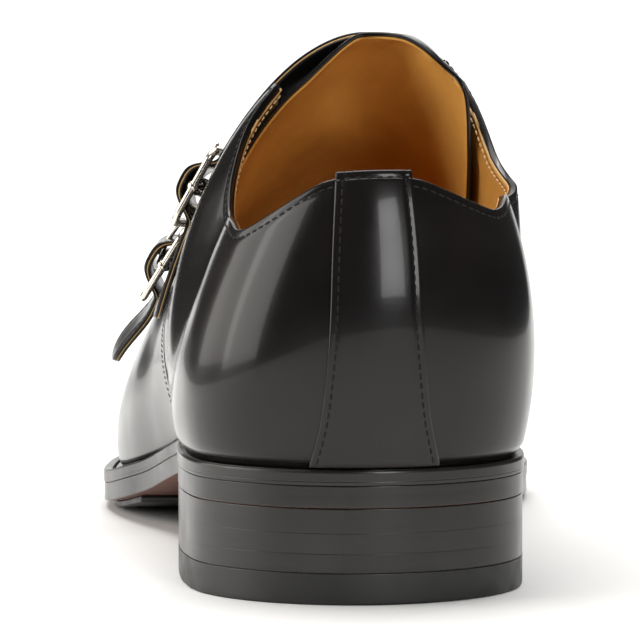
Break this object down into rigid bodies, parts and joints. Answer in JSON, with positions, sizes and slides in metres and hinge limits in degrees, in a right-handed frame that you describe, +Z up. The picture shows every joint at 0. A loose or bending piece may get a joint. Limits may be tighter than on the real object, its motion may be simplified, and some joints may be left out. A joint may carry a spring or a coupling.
{
  "type": "double monk strap shoe",
  "caption": "Low black leather dress shoe for the left foot, closed by buckled straps over the instep, on a stacked heel.",
  "frame": {"origin": "middle of the heel's flat bottom face", "axes": "+Z up, +Y to the toe, +X to the inner (medial) side of the foot"},
  "size_m": [0.1101, 0.3061, 0.1181],
  "materials": {
    "black_leather": "polished black calf",
    "welt_leather": "black edge dressing with a stitched top",
    "heel_leather": "black polished stacked leather",
    "sole_leather": "dark red-brown waxed sole leather",
    "rubber": "matte black rubber",
    "lining": "smooth tan lining leather",
    "buckle_metal": "polished pale champagne metal"
  },
  "bodies": {
    "root": {"heel_top_piece": "rubber", "heel_stack": "heel_leather", "outsole": "sole_leather", "sole_guard": "rubber", "welt": "welt_leather", "insole": "lining", "upper": "black_leather", "back_strip": "black_leather", "tongue": "black_leather", "strap_top": "black_leather", "strap_lower": "black_leather", "tab_top": "black_leather", "tab_lower": "black_leather", "buckle_top": "buckle_metal", "buckle_lower": "buckle_metal", "prong_top": "buckle_metal", "prong_lower": "buckle_metal"}
  },
  "joints": []
}
